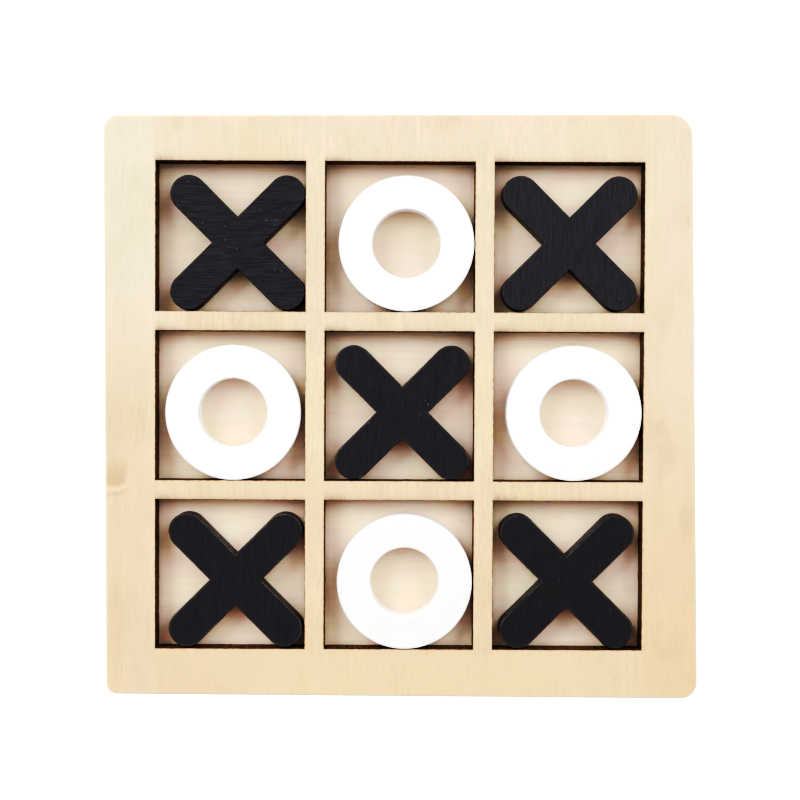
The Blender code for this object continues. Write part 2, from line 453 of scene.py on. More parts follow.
def face_wood():
    """Bare pale wood of the grid's top face: the grain runs along Y."""
    mat = Material("grid_face_wood")
    x, y = mat.x, mat.y
    # slow wander of the grain, and its push around the knot
    wander = mat.noise(x=0.030, y=0.011)
    knot = mat.length((x + 69.8) * 0.150, (y + 16.9) * 0.215)
    push = knot.ramp(0.2, 2.2, out=(1.0, 0.0)) * y.ramp(-30.0, -6.0, out=(-1.6, 1.6))
    grain_x = (wander - 0.5).linear(7.0, x) + push
    near_border = y.ramp(-57.5, -60.5)

    fibre = mat.noise(x=3.2, y=0.14, at_x=grain_x, shift=7.7, detail=3.0, rough=0.6)
    hair = mat.noise(x=9.0, y=0.30, at_x=grain_x, shift=1.3, rough=0.6)
    # open pores: short dark hairs along the grain, thick in some patches, absent in others
    pores = mat.noise(x=6.5, y=0.16, at_x=grain_x, shift=4.4, rough=0.7)
    patch = mat.noise(x=0.085, y=0.055, shift=9.0)
    hairs = pores.ramp(0.56, 0.70) * patch.ramp(0.47, 0.62)

    colour = face_tints(mat, grain_x, near_border)
    colour = face_knot(mat, colour)
    value = face_brightness(mat, grain_x, near_border, fibre, hair, hairs)
    colour = face_smoke(mat, mat.scaled(colour, value), grain_x)
    # the outer arris is sanded paler and also painted paler as a highlight along its rounding, and
    # there are a few pin specks
    rim = mat.attribute("rim")
    speck = mat.cells(mat.mm, scale=0.11)
    colour = mat.tint(colour,
                      (rim.ramp(0.85, 0.15, out=(0.0, 0.55)), seen(250, 240, 222)),
                      (speck.ramp(0.030, 0.016, out=(0.0, 0.38)), seen(170, 140, 100)))
    height = fibre * 0.55 + (hair * 0.35 + hairs * -0.5)
    return mat.finish(
        Base_Color=colour, Roughness=fibre.linear(0.16, 0.50),
        Normal=mat.bump(height, depth=0.030, strength=0.55), Specular_IOR_Level=0.30,
        Subsurface_Weight=0.12, Subsurface_Radius=WOOD_SCATTER, Subsurface_Scale=0.0012)


def floor_wood():
    """The base board's upper face: paler and pinker, with the grain along X."""
    mat = Material("base_face_wood")
    x, y = mat.x, mat.y
    wander = mat.noise(x=0.010, y=0.035, shift=1.5)
    grain_y = (wander - 0.5).linear(9.0, y)
    broad = mat.noise(x=0.012, y=0.22, at_y=grain_y, shift=3.3, detail=3.0, rough=0.55)
    bands = mat.noise(x=0.020, y=0.9, at_y=grain_y, shift=5.2, detail=3.0, rough=0.6)
    fibre = mat.noise(x=0.080, y=3.4, at_y=grain_y, shift=2.7, detail=3.0, rough=0.6)
    hair = mat.noise(x=0.30, y=9.0, at_y=grain_y, shift=6.1, rough=0.6)
    blotch = mat.noise(x=0.075, y=0.11, shift=7.0)
    cloud = mat.noise(x=0.16, y=0.20, shift=11.0, distortion=0.4)

    colour = mat.mix(blotch.ramp(0.36, 0.64), seen(245, 233, 218), seen(247, 237, 216))
    colour = mat.tint(colour,
                      (broad.ramp(0.46, 0.66) * 0.5, seen(246, 228, 214)),
                      (cloud.ramp(0.52, 0.72) * 0.35, seen(251, 243, 230)))
    value = bands.vary(0.090) * fibre.vary(0.080)
    value = value * hair.vary(0.035)
    streak = bands.ramp(0.62, 0.72) * blotch.ramp(0.45, 0.6)
    value = value * streak.linear(-0.16, 1.0)
    # the sheet is a little greyer at its far left, which is painted shade over the far windows'
    # floor, and paler at its near left
    far_left = y.ramp(15.0, 27.0) * x.ramp(34.0, 18.0)
    near_left = y.ramp(-15.0, -27.0) * x.ramp(-12.0, -26.0)
    # painted shade: the floor of the far-left windows is darkened
    value = value * far_left.linear(-0.09, 1.0)
    value = value * near_left.linear(0.10, 1.0)
    colour = mat.scaled(colour, value)

    # painted reddish shade on the floor at the foot of the cut walls, and pin specks
    out_x, _ = window_distance(mat, x)
    out_y, _ = window_distance(mat, y)
    wall_foot_shade = out_x.max(out_y).ramp(-1.6, -0.1) * cloud.linear(0.7, 0.1)
    speck = mat.cells(mat.mm, scale=0.13)
    colour = mat.tint(colour,
                      (wall_foot_shade * 0.55, seen(190, 140, 105)),
                      (speck.ramp(0.026, 0.014, out=(0.0, 0.4)), seen(170, 135, 100)))
    return mat.finish(
        Base_Color=colour, Roughness=fibre.linear(0.16, 0.52),
        Normal=mat.bump(fibre * 0.6 + hair * 0.4, depth=0.030, strength=0.5),
        Specular_IOR_Level=0.28, Subsurface_Weight=0.45,
        Subsurface_Radius=(1.0, 0.30, 0.16), Subsurface_Scale=0.0020)


def char():
    """Laser-cut window walls: dark brown char with fine marks down the cut."""
    mat = Material("laser_char")
    x, y, z = mat.x, mat.y, mat.z
    marks = mat.noise_at(mat.xyz((x + y) * 2.4, (x - y) * 2.4, z * 0.12),
                         detail=3.0, rough=0.65)
    soot = mat.noise(x=0.5, y=0.5, z=0.9, shift=3.0)
    foot = z.ramp(FLOOR + 1.3, FLOOR + 0.1)
    colour = mat.mix(marks.ramp(0.35, 0.72), (0.056, 0.030, 0.019), (0.145, 0.078, 0.049))
    colour = mat.tint(
        colour,
        (soot.ramp(0.45, 0.75) * 0.6, (0.050, 0.030, 0.021)),
        (foot * marks.linear(0.8, 0.0), (0.215, 0.115, 0.070)))    # the less burnt foot
    return mat.finish(Base_Color=colour, Roughness=soot.linear(0.2, 0.70),
                      Normal=mat.bump(marks, depth=0.06, strength=0.8),
                      Specular_IOR_Level=0.06)


def ply_edge(name, layers, tone=1.0):
    """Sanded outer edge of a sheet: its veneers in section.

    layers, from the bottom up: z at the veneer's underside, whether its grain runs
    along Y."""
    mat = Material(name)
    normal_x, _, _ = mat.split(mat.output("ShaderNodeNewGeometry", "Normal"))
    on_x_side = abs(normal_x).ramp(0.6, 0.8)       # the wall faces +-X
    along = mat.mix(on_x_side, mat.x, mat.y)       # coordinate along the wall
    drift = (mat.noise(x=0.06, y=0.06, z=0.0, shift=4.0) - 0.5) * 0.25
    z = mat.z + drift
    # long grain: fine lines along the edge; end grain: short pores across the veneer
    lengthwise = mat.noise_at(mat.xyz(along * 0.10, 0.0, z * 7.0), detail=3.0, rough=0.6)
    pores = mat.noise_at(mat.xyz(along * 6.0, 0.0, z * 2.2), detail=3.0, rough=0.7)
    rays = mat.noise_at(mat.xyz(along * 1.3, 0.0, z * 0.25))
    long_colour = mat.scaled(
        mat.mix(lengthwise.ramp(0.3, 0.7), (0.52, 0.36, 0.22), (0.72, 0.54, 0.36)), tone)
    end_colour = mat.scaled(
        mat.mix(pores.ramp(0.3, 0.7), (0.32, 0.195, 0.110), (0.52, 0.35, 0.21)), tone)
    end_colour = mat.scaled(end_colour, rays.vary(0.16))
    colour = None
    for bottom, along_y in layers:
        is_long = on_x_side if along_y else 1.0 - on_x_side
        veneer = mat.mix(is_long, end_colour, long_colour)
        if colour is None:
            colour = veneer
        else:
            line = abs(z - bottom).ramp(0.085, 0.02, out=(0.0, 0.75))
            colour = mat.tint(colour,
                              (z.ramp(bottom - 0.03, bottom + 0.03), veneer),
                              (line, (0.16, 0.09, 0.05)))
    # a little grey toast that comes and goes
    toast = mat.noise_at(mat.xyz(along * 0.09, 3.0, z * 0.2))
    colour = mat.mix(toast.ramp(0.45, 0.8, out=(0.0, 0.45)), colour, (0.40, 0.26, 0.155))
    return mat.finish(
        Base_Color=colour, Roughness=pores.linear(0.15, 0.58),
        Normal=mat.bump(pores * 0.5 + lengthwise * 0.5, depth=0.05, strength=0.55),
        Specular_IOR_Level=0.25, Subsurface_Weight=0.10,
        Subsurface_Radius=WOOD_SCATTER, Subsurface_Scale=0.0010)


def under_wood():
    """Undersides of the sheets: the plainer back veneer, arched grain along X."""
    mat = Material("base_back_wood")
    wander = mat.noise(x=0.012, y=0.030, shift=9.5)
    grain_y = (wander - 0.5).linear(16.0, mat.y)
    arches = mat.math("SINE", (grain_y + mat.x * mat.x * 0.0011) * 1.15)
    bands = mat.noise(x=0.018, y=0.6, at_y=grain_y, shift=1.2, detail=3.0, rough=0.6)
    fibre = mat.noise(x=0.090, y=3.2, at_y=grain_y, shift=3.7, detail=3.0, rough=0.6)
    hair = mat.noise(x=0.35, y=9.0, at_y=grain_y, shift=8.1)
    speck = mat.cells(mat.mm, scale=0.07)
    colour = mat.mix(bands.ramp(0.35, 0.68), (0.62, 0.45, 0.28), (0.74, 0.56, 0.37))
    colour = mat.mix(arches.ramp(0.35, 1.0, out=(0.0, 0.28)), colour, (0.56, 0.38, 0.22))
    colour = mat.scaled(colour, fibre.vary(0.07) * hair.vary(0.04))
    colour = mat.mix(speck.ramp(0.030, 0.014, out=(0.0, 0.5)), colour, (0.25, 0.15, 0.08))
    return mat.finish(Base_Color=colour, Roughness=fibre.linear(0.16, 0.56),
                      Normal=mat.bump(fibre * 0.6 + hair * 0.4, depth=0.04, strength=0.6),
                      Specular_IOR_Level=0.28)


# ------------------------------------------------------------------ paint
def black_paint(name, grain_x, seed, wear_and_highlight, streak, tone, flecks):
    """Thin matt black over open-grained wood. The grain runs along X if grain_x, else Y.

    wear_and_highlight is how far the edges are rubbed, the worn band also standing in as a painted
    highlight along the edge, streak the contrast of the grain, tone the brightness, and flecks how
    many pale flecks there are."""
    mat = Material(name)

    def grained(along, across):
        return {"x": along, "y": across} if grain_x else {"x": across, "y": along}

    fibre = mat.noise(**grained(along=0.26 if grain_x else 0.22, across=3.8),
                      shift=seed, detail=3.0, rough=0.65)
    hair = mat.noise(**grained(along=0.70, across=12.0), shift=seed + 2.0, rough=0.6)
    coarse = mat.noise(**grained(along=0.045, across=1.05),
                       shift=seed + 11.0, detail=3.0, rough=0.65)
    patch = mat.noise(x=0.12, y=0.12, shift=seed + 4.0)
    black = (0.0315, 0.0305, 0.0362)
    dark = tuple(tone * (channel * (1 - 0.32 * streak)) for channel in black)
    light = tuple(tone * (channel * (1 + 0.32 * streak)) for channel in black)
    colour = mat.mix(fibre.ramp(0.32, 0.70), dark, light)
    colour = mat.scaled(colour, hair.vary(0.16 * streak))

    # pores that the paint bridged, seen as pale flecks
    fleck = mat.cells(mat.stretch(**grained(along=0.55, across=1.2), shift=seed), scale=0.75)
    rare = mat.noise(x=0.40, y=0.40, shift=seed + 9.0, detail=1.0)
    fleck_amount = fleck.ramp(0.13, 0.05) * rare.ramp(
        0.62 - 0.10 * flecks, 0.70 - 0.10 * flecks, out=(0.0, 0.45 + 0.40 * flecks))

    # worn arris, where the paint is thin, which is also a painted highlight along the rounded edge
    edge = mat.attribute("edge")
    wall = mat.attribute("wall")
    along = mat.noise(x=0.30, y=0.30, shift=seed + 6.0, detail=3.0, rough=0.7)
    rub = mat.noise(x=1.9, y=1.9, shift=seed + 7.0, detail=3.0, rough=0.8)
    band = edge.ramp(0.50, 0.20) * edge.ramp(0.00, 0.12)
    worn = (band * along.ramp(0.36, 0.60, out=(0.10, 1.0))
            * rub.ramp(0.34, 0.62, out=(0.25, 1.0)))
    colour = mat.tint(
        colour,
        (patch.ramp(0.50, 0.75) * 0.35, (0.0265, 0.0280, 0.0320)),
        (fleck_amount, (0.140, 0.142, 0.138)),
        (worn * wear_and_highlight, (0.135, 0.112, 0.092)),
        (wall * hair.ramp(0.60, 0.80, out=(0.0, 0.25)), (0.060, 0.048, 0.040)))
    height = fibre * 0.7 + (hair * 0.3 + coarse * 0.28)
    return mat.finish(
        Base_Color=colour,
        Roughness=fibre.linear(0.22, coarse.ramp(0.30, 0.70, out=(0.33, 0.41))),
        Normal=mat.bump(height, depth=0.055, strength=0.80),
        Specular_IOR_Level=coarse.ramp(0.32, 0.68, out=(0.19, 0.13)),
        Specular_Tint=(1.0, 0.985, 0.90))


def white_paint(name, seed):
    """Sprayed white, covering well, with a faint trace of grain along Y."""
    mat = Material(name)
    fibre = mat.noise(x=2.6, y=0.10, shift=seed, detail=3.0, rough=0.6)
    mottle = mat.noise(x=0.35, y=0.35, z=0.35, shift=seed + 3.0, detail=3.0)
    pimple = mat.noise(x=2.2, y=2.2, z=2.2, shift=seed, detail=3.0)
    edge = mat.attribute("edge")
    wall = mat.attribute("wall")
    along = mat.noise(x=0.30, y=0.30, shift=seed + 6.0, detail=3.0, rough=0.7)
    worn = (edge.ramp(0.30, 0.10) * edge.ramp(-0.02, 0.06)
            * along.ramp(0.50, 0.72, out=(0.0, 0.22)))
    colour = mat.mix(mottle.ramp(0.35, 0.70), (0.945, 0.944, 0.936), (0.955, 0.955, 0.949))
    colour = mat.tint(
        colour,
        (worn, (0.60, 0.52, 0.42)),
        (wall * fibre.ramp(0.52, 0.78, out=(0.0, 0.22)), (0.66, 0.62, 0.56)))
    return mat.finish(
        Base_Color=colour, Roughness=mottle.linear(0.12, 0.34),
        Normal=mat.bump(fibre * 0.6 + pimple * 0.4, depth=0.030, strength=0.45),
        Specular_IOR_Level=0.35, Subsurface_Weight=0.04,
        Subsurface_Radius=(1.0, 0.8, 0.6), Subsurface_Scale=0.0004)


# ------------------------------------------------------------------ board outline
# Mesh lines near a sheet's outer edge: distances inwards
EDGE_STEPS = (0.0, 0.04, 0.10, 0.19, 0.31, 0.46, 0.66, 0.95, 1.35, 1.85, 2.4, 3.0)
# Mesh lines near a window: distances outwards from the cut
CUT_STEPS = (0.0, 0.035, 0.09, 0.20, 0.42, 0.80, 1.30, 1.80)
WINDOW_STEPS = 72        # mesh cells along a window's side
BORDER_STEP = 0.95       # about the cell size on the grid's border
BASE_STEP = 2.2          # about the cell size on the base board
LEAN_START = PITCH + WINDOW / 2 + 1.0    # the border starts to lean out here
LEAN_MARGIN = 4.0        # and has its full lean this far in from the rectangle


def corner_radius(x, y):
    """The rounding of the corner that a point is nearest to."""
    return np.where(y > 0, np.where(x > 0, FAR_RIGHT[2], FAR_LEFT[2]),
                    np.where(x > 0, NEAR_RIGHT[2], NEAR_LEFT[2]))


def square_to_corner(x, y):
    """Rounds a rectangle's corners: each corner square is mapped onto a quarter disc."""
    radius = corner_radius(x, y)
    corner_x, corner_y = HALF_X - radius, HALF_Y - radius
    u = np.clip((np.abs(x) - corner_x) / radius, 0.0, 1.0)
    v = np.clip((np.abs(y) - corner_y) / radius, 0.0, 1.0)
    both = (u > 0) & (v > 0)
    new_x = np.where(both, corner_x + radius * u * np.sqrt(1 - v * v / 2), np.abs(x))
    new_y = np.where(both, corner_y + radius * v * np.sqrt(1 - u * u / 2), np.abs(y))
    return np.sign(x) * new_x, np.sign(y) * new_y


def rim_distance(x, y):
    """Distance inwards from the rounded outline."""
    radius = corner_radius(x, y)
    past_x = np.abs(x) - (HALF_X - radius)
    past_y = np.abs(y) - (HALF_Y - radius)
    outside = np.hypot(np.maximum(past_x, 0), np.maximum(past_y, 0))
    return radius - outside - np.minimum(np.maximum(past_x, past_y), 0)


def side_at(start, end, axis, at):
    """Coordinate (0 x, 1 y) of the side between two corners, where the other one is at."""
    other = 1 - axis
    return (start[axis] + (end[axis] - start[axis]) * (at - start[other])
            / (end[other] - start[other]))


def out_of_square(x, y):
    """Leans the border out to the blank's true sides, and moves nothing at the windows."""
    right = side_at(NEAR_RIGHT, FAR_RIGHT, 0, y) - HALF_X
    left = side_at(NEAR_LEFT, FAR_LEFT, 0, y) + HALF_X
    far = side_at(FAR_LEFT, FAR_RIGHT, 1, x) - HALF_Y
    near = side_at(NEAR_LEFT, NEAR_RIGHT, 1, x) + HALF_Y
    reach_x = np.clip((np.abs(x) - LEAN_START) / (HALF_X - LEAN_MARGIN - LEAN_START), 0.0, 1.0)
    reach_y = np.clip((np.abs(y) - LEAN_START) / (HALF_Y - LEAN_MARGIN - LEAN_START), 0.0, 1.0)
    return x + reach_x * np.where(x > 0, right, left), y + reach_y * np.where(y > 0, far, near)


# ------------------------------------------------------------------ sheet meshes
def window_lines(half):
    """Mesh lines across the grid sheet on one axis, with each window edge a line."""
    lines = []
    for centre in CENTRES:
        for i in range(WINDOW_STEPS + 1):
            lines.append(centre - WINDOW / 2 + WINDOW * i / WINDOW_STEPS)
    for sign in (-1, 1):
        # the bar between two windows
        inner, outer = sign * WINDOW / 2, sign * (PITCH - WINDOW / 2)
        for step in CUT_STEPS:
            lines += [inner + sign * step, outer - sign * step]
        lines.append((inner + outer) / 2)
        # the border
        last_cut = PITCH + WINDOW / 2
        for step in (*CUT_STEPS, 2.5):
            lines.append(sign * (last_cut + step))
        start, stop = last_cut + 3.3, half - EDGE_STEPS[-1]
        count = max(1, round((stop - start) / BORDER_STEP))
        for i in range(count):
            lines.append(sign * (start + (stop - start) * i / count))
        for step in EDGE_STEPS:
            lines.append(sign * (half - step))
    return np.array(sorted({round(line, 5) for line in lines}))


def base_lines(half):
    """Mesh lines across the base board on one axis."""
    stop = half - EDGE_STEPS[-1]
    count = round(2 * stop / BASE_STEP)
    lines = [-stop + 2 * stop * i / count for i in range(count + 1)]
    for step in EDGE_STEPS:
        lines += [half - step, -half + step]
    return np.array(sorted({round(line, 5) for line in lines}))


def cut_wave(along, seed):
    """How far a cut edge wanders from straight, with three small nicks."""
    offset = 0.030 * wave(along / 9.0, seed) + 0.014 * wave(along / 2.3, seed + 50)
    rng = np.random.RandomState(seed + 900)
    for _ in range(3):
        place, width, depth = rng.uniform(-16, 16), rng.uniform(0.35, 0.8), rng.uniform(0.03, 0.13)
        nick = depth * np.exp(-((along - place) / width) ** 2)
        offset = offset + nick * rng.choice([-1, 1])
    return offset


def wander_edges(x, y, z):
    """Moves points near the window cuts sideways at height z, so that the cuts aren't
    ruled straight. Down the walls the wander fades and the walls lean a little."""
    move_x, move_y = np.zeros_like(x), np.zeros_like(y)
    down = np.clip((TOP - z) / (TOP - FLOOR), 0, 1)
    lean = 0.05 * down
    fade = 1.0 - 0.35 * down
    for i, centre_x in enumerate(CENTRES):
        for j, centre_y in enumerate(CENTRES):
            local_x, local_y = x - centre_x, y - centre_y
            sides = ((local_x, local_y, -1), (local_x, local_y, 1),
                     (local_y, local_x, -1), (local_y, local_x, 1))
            for k, (across, along, sign) in enumerate(sides):
                seed = 17 + 7 * (3 * i + j) * 4 + k
                out = sign * across - WINDOW / 2            # outwards from the cut
                fall = np.exp(-(np.maximum(out, 0) / 0.45) ** 2) * (out > -0.5)
                ends = smooth(WINDOW / 2, WINDOW / 2 - 0.9, np.abs(along))
                offset = cut_wave(along, seed) * fade - lean * (out < 0.02)
                move = sign * offset * fall * ends
                if k < 2:
                    move_x += move
                else:
                    move_y += move
    return x + move_x, y + move_y


def sheet_grid(xs, ys, keep):
    """x and y of the vertices, and the quads, of the cells whose centres keep() accepts."""
    grid_x, grid_y = np.meshgrid(xs, ys)                    # a row per y
    mask = keep(*np.meshgrid((xs[:-1] + xs[1:]) / 2, (ys[:-1] + ys[1:]) / 2))
    ids = np.arange(grid_x.size).reshape(grid_x.shape)
    corners = (ids[:-1, :-1], ids[:-1, 1:], ids[1:, 1:], ids[1:, :-1])
    quads = np.stack([corner[mask] for corner in corners], 1)
    used = np.unique(quads)
    return grid_x.ravel()[used], grid_y.ravel()[used], np.searchsorted(used, quads)


def boundary(quads):
    """The vertices on the boundary, and where in that list each boundary edge starts
    and ends."""
    edges = np.concatenate([quads[:, [k, (k + 1) % 4]] for k in range(4)])
    key = edges[:, 0].astype(np.int64) * (10 ** 7) + edges[:, 1]
    back = edges[:, 1].astype(np.int64) * (10 ** 7) + edges[:, 0]
    edges = edges[~np.isin(key, back)]
    ring = np.unique(edges)
    start, end = np.searchsorted(ring, edges).T
    return ring, start, end


def wall_band(upper, lower, start, end):
    """Quads between two levels of the boundary."""
    return np.stack([upper[end], upper[start], lower[start], lower[end]], 1)


def outside_windows(x, y):
    inside = np.zeros(x.shape, bool)
    for centre_x in CENTRES:
        for centre_y in CENTRES:
            inside |= (np.abs(x - centre_x) < WINDOW / 2) & (np.abs(y - centre_y) < WINDOW / 2)
    return ~inside


def underside_triangles(verts, faces):
    """Triangles that close the sheet between its lowest loops, facing down."""
    mesh = bpy.data.meshes.new("tmp")
    mesh.from_pydata((verts * MM).tolist(), [], faces.tolist())
    bm = bmesh.new()
    bm.from_mesh(mesh)
    made = bmesh.ops.triangle_fill(bm, edges=[edge for edge in bm.edges if edge.is_boundary],
                                   use_beauty=False, use_dissolve=False, normal=(0, 0, -1))
    triangles = []
    for item in made["geom"]:
        if isinstance(item, bmesh.types.BMFace):
            ids = [vert.index for vert in item.verts]
            item.normal_update()
            if item.normal.z > 0:
                ids.reverse()
            triangles.append(ids)
    bm.free()
    bpy.data.meshes.remove(mesh)
    return triangles


def grid_sheet():
    """The grid frame: rounded outline, nine wandering cuts, walls, softened arrises."""
    flat_x, flat_y, quads = sheet_grid(window_lines(HALF_X), window_lines(HALF_Y),
                                       outside_windows)
    ring, start, end = boundary(quads)

    def shape(x, y, z):
        return out_of_square(*wander_edges(*square_to_corner(x, y), z))

    # top face, lowered at the outer arris and, a little, at the cuts
    top_x, top_y = shape(flat_x, flat_y, TOP)
    rim = rim_distance(*square_to_corner(flat_x, flat_y))
    cut_x, cut_y = (np.min([np.abs(flat - centre) - WINDOW / 2 for centre in CENTRES], axis=0)
                    for flat in (flat_x, flat_y))
    cut = np.maximum(cut_x, cut_y)
    drop = arris(rim, 0.55) + arris(np.maximum(cut, 0), 0.10) * 0.8
    verts = [np.stack([top_x, top_y, TOP - drop], 1)]
    faces = [quads]
    index = [np.zeros(len(quads), int)]

    # walls: the boundary repeated at lower levels
    levels = (TOP - 0.62, TOP - 1.1, TOP - 2.0, TOP - 3.0, TOP - 3.9,
              SEAM + 0.42, SEAM + 0.16, SEAM + 0.05, SEAM)
    ring_x, ring_y = flat_x[ring], flat_y[ring]
    is_outer = (np.abs(ring_x) > HALF_X - 1e-3) | (np.abs(ring_y) > HALF_Y - 1e-3)
    upper, count = ring, len(flat_x)
    for z in levels:
        wall_x, wall_y = shape(ring_x, ring_y, z)
        # the outer wall rounds in slightly at the seam, the cut walls don't
        inset = arris(z - SEAM, 0.16) * is_outer
        verts.append(np.stack([wall_x * (1 - inset / HALF_X), wall_y * (1 - inset / HALF_Y),
                               np.full(len(ring), z)], 1))
        lower = count + np.arange(len(ring))
        faces.append(wall_band(upper, lower, start, end))
        index.append(np.where(is_outer[start] & is_outer[end], 2, 1))
        upper = lower
        count += len(ring)

    verts, faces = np.concatenate(verts), np.concatenate(faces)
    triangles = underside_triangles(verts, faces)
    edge_layers = [(SEAM, True), (SEAM + 1.05, False), (TOP - 1.15, True)]
    rims = np.concatenate([rim, np.full(len(verts) - len(rim), NO_RIM)])
    return build("grid_frame_wood", verts, faces.tolist() + triangles,
                 [face_wood(), char(), ply_edge("grid_edge_wood", edge_layers), under_wood()],
                 {"rim": rims}, sharp=50.0,
                 index=np.concatenate(index).tolist() + [3] * len(triangles))


def base_sheet():
    """The base board: a solid sheet with the same outline."""
    x, y, quads = sheet_grid(base_lines(HALF_X), base_lines(HALF_Y),
                             lambda x, y: np.ones(x.shape, bool))
    ring, start, end = boundary(quads)
    x, y = square_to_corner(x, y)
    rim = rim_distance(x, y)
    x, y = out_of_square(x, y)
    verts = [np.stack([x, y, FLOOR - arris(rim, 0.14)], 1)]
    faces = [quads]
    rims = [rim]
    upper, count = ring, len(x)
    for z in (2.4, 1.7, 1.1, 0.62):
        verts.append(np.stack([x[ring], y[ring], np.full(len(ring), z)], 1))
        rims.append(np.full(len(ring), NO_RIM))
        lower = count + np.arange(len(ring))
        faces.append(wall_band(upper, lower, start, end))
        upper = lower
        count += len(ring)
    # underside
    verts.append(np.stack([x, y, arris(rim, 0.50)], 1))
    rims.append(rim)
    faces.append(wall_band(upper, count + ring, start, end))
    faces.append((quads + count)[:, ::-1])
    faces_per_slot = (len(quads), len(start) * (len(faces) - 2), len(quads))
    edge_layers = [(0.0, False), (0.62, True), (FLOOR - 0.66, False)]
    return build("base_board_wood", np.concatenate(verts), np.concatenate(faces),
                 [floor_wood(), ply_edge("base_edge_wood", edge_layers, tone=0.95),
                  under_wood()],
                 {"rim": np.concatenate(rims)}, sharp=50.0,
                 index=np.repeat((0, 1, 2), faces_per_slot))


# ------------------------------------------------------------------ pieces
PIECE_SHARP = 60.0       # sharp-edge angle, degrees


def rounding(radius, degrees):
    """(inset from the side, distance from the flat) at angles around a rounded edge."""
    return [(radius * (1 - math.cos(angle)), radius * (1 - math.sin(angle)))
            for angle in map(math.radians, degrees)]


def loft(rows, columns, closed):
    """Quads over rows of closed loops; closed also joins the last row to the first."""
    here = np.arange(rows * columns).reshape(rows, columns)
    beside = np.roll(here, -1, axis=1)
    quads = np.stack([here, beside, np.roll(beside, -1, axis=0), np.roll(here, -1, axis=0)], -1)
    return (quads if closed else quads[:-1]).reshape(-1, 4)


def outward(local):
    """Unit vectors away from the centre of a piece."""
    return local / np.maximum(np.linalg.norm(local, axis=1, keepdims=True), 1e-6)


def clean(obj, weld):
    """Turns the faces outwards, after merging points that meet if weld is set."""
    bm = bmesh.new()
    bm.from_mesh(obj.data)
    if weld:
        bmesh.ops.remove_doubles(bm, verts=bm.verts, dist=2e-7)
        bmesh.ops.dissolve_degenerate(bm, edges=bm.edges, dist=1e-7)
    bmesh.ops.recalc_face_normals(bm, faces=bm.faces)
    bm.to_mesh(obj.data)
    bm.free()


def cross_loop(inset, tip_steps=22, side_steps=30):
    """Outline of the cross moved inwards by inset. Points keep their partners across
    each arm, so at full inset the two sides of an arm meet on its centre line."""
    half = CROSS_ARM_R - inset
    # distances along the arm, from the notch (half out from the centre) to the tip
    stations = [half + (CROSS_TIP - half) * i / side_steps for i in range(side_steps)]
    points = []
    for arm in range(4):
        angle = math.radians(45 + 90 * arm)
        out = np.array([math.cos(angle), math.sin(angle)])
        left = np.array([-out[1], out[0]])
        for station in stations:                   # right-hand side, outwards
            points.append(out * station - left * half)
        for i in range(tip_steps + 1):
            turn = angle - math.pi / 2 + math.pi * i / tip_steps
            points.append(out * CROSS_TIP + half * np.array([math.cos(turn), math.sin(turn)]))
        for station in reversed(stations[1:]):     # left-hand side, inwards
            points.append(out * station + left * half)
    return np.array(points)


def cross_piece(name, node, material, seed):
    lo, hi = node_box(node)
    top, low = hi[2], PIECE_LOW
    middle = (low + top) / 2
    # (inset, z) of each loop, from the underside's centre lines out, up and back in
    loops = [(inset, low) for inset in (CROSS_ARM_R, 3.8, 3.0, 2.0, 1.1, 0.5)]
    loops += [(inset, low + rise) for inset, rise in rounding(CROSS_ARRIS, (65, 35, 8))]
    loops += [(0.0, low + CROSS_ARRIS + (top - low - 2 * CROSS_ARRIS) * part)
              for part in (0.18, 0.35, 0.5, 0.65, 0.82)]
    loops += [(inset, top - drop)
              for inset, drop in rounding(CROSS_ARRIS, (8, 28, 48, 66, 82))]
    loops += [(inset, top) for inset in (0.36, 0.50, 0.75, 1.05, 1.4, 1.8, 2.2, 2.6, 3.0,
                                         3.4, 3.8, 4.1, CROSS_ARM_R)]
    outlines = [cross_loop(inset) for inset, _ in loops]
    columns = len(outlines[0])
    local = np.concatenate(outlines)
    insets = np.repeat([inset for inset, _ in loops], columns)
    z = np.repeat([height for _, height in loops], columns)
    edge = np.where(z > middle, insets, NO_EDGE)
    wall = np.where(insets < CROSS_ARRIS * 0.5, 1.0, 0.0)

    # hand finishing: the side wanders a few hundredths, the top is faintly rippled
    xy = local + ((lo + hi) / 2)[:2]
    fine = ripple(xy, 0.55, seed * 3.7, seed, octaves=3)
    broad = ripple(xy, 0.22, seed * 3.7, seed + 5, octaves=2)
    body = smooth(0.3, 1.6, insets) * (z > middle)
    skin = 1 - smooth(0.0, 1.2, insets)
    z = z + body * (0.020 * fine + 0.015 * broad - 0.020)
    xy = xy + outward(local) * ((0.030 * fine - 0.025) * skin)[:, None]
    obj = build(name, np.column_stack([xy, z]), loft(len(loops), columns, closed=False),
                [material], {"edge": edge, "wall": wall}, PIECE_SHARP)
    clean(obj, weld=True)
    obj.data.shade_smooth()
    obj.data.set_sharp_from_angle(angle=math.radians(PIECE_SHARP))


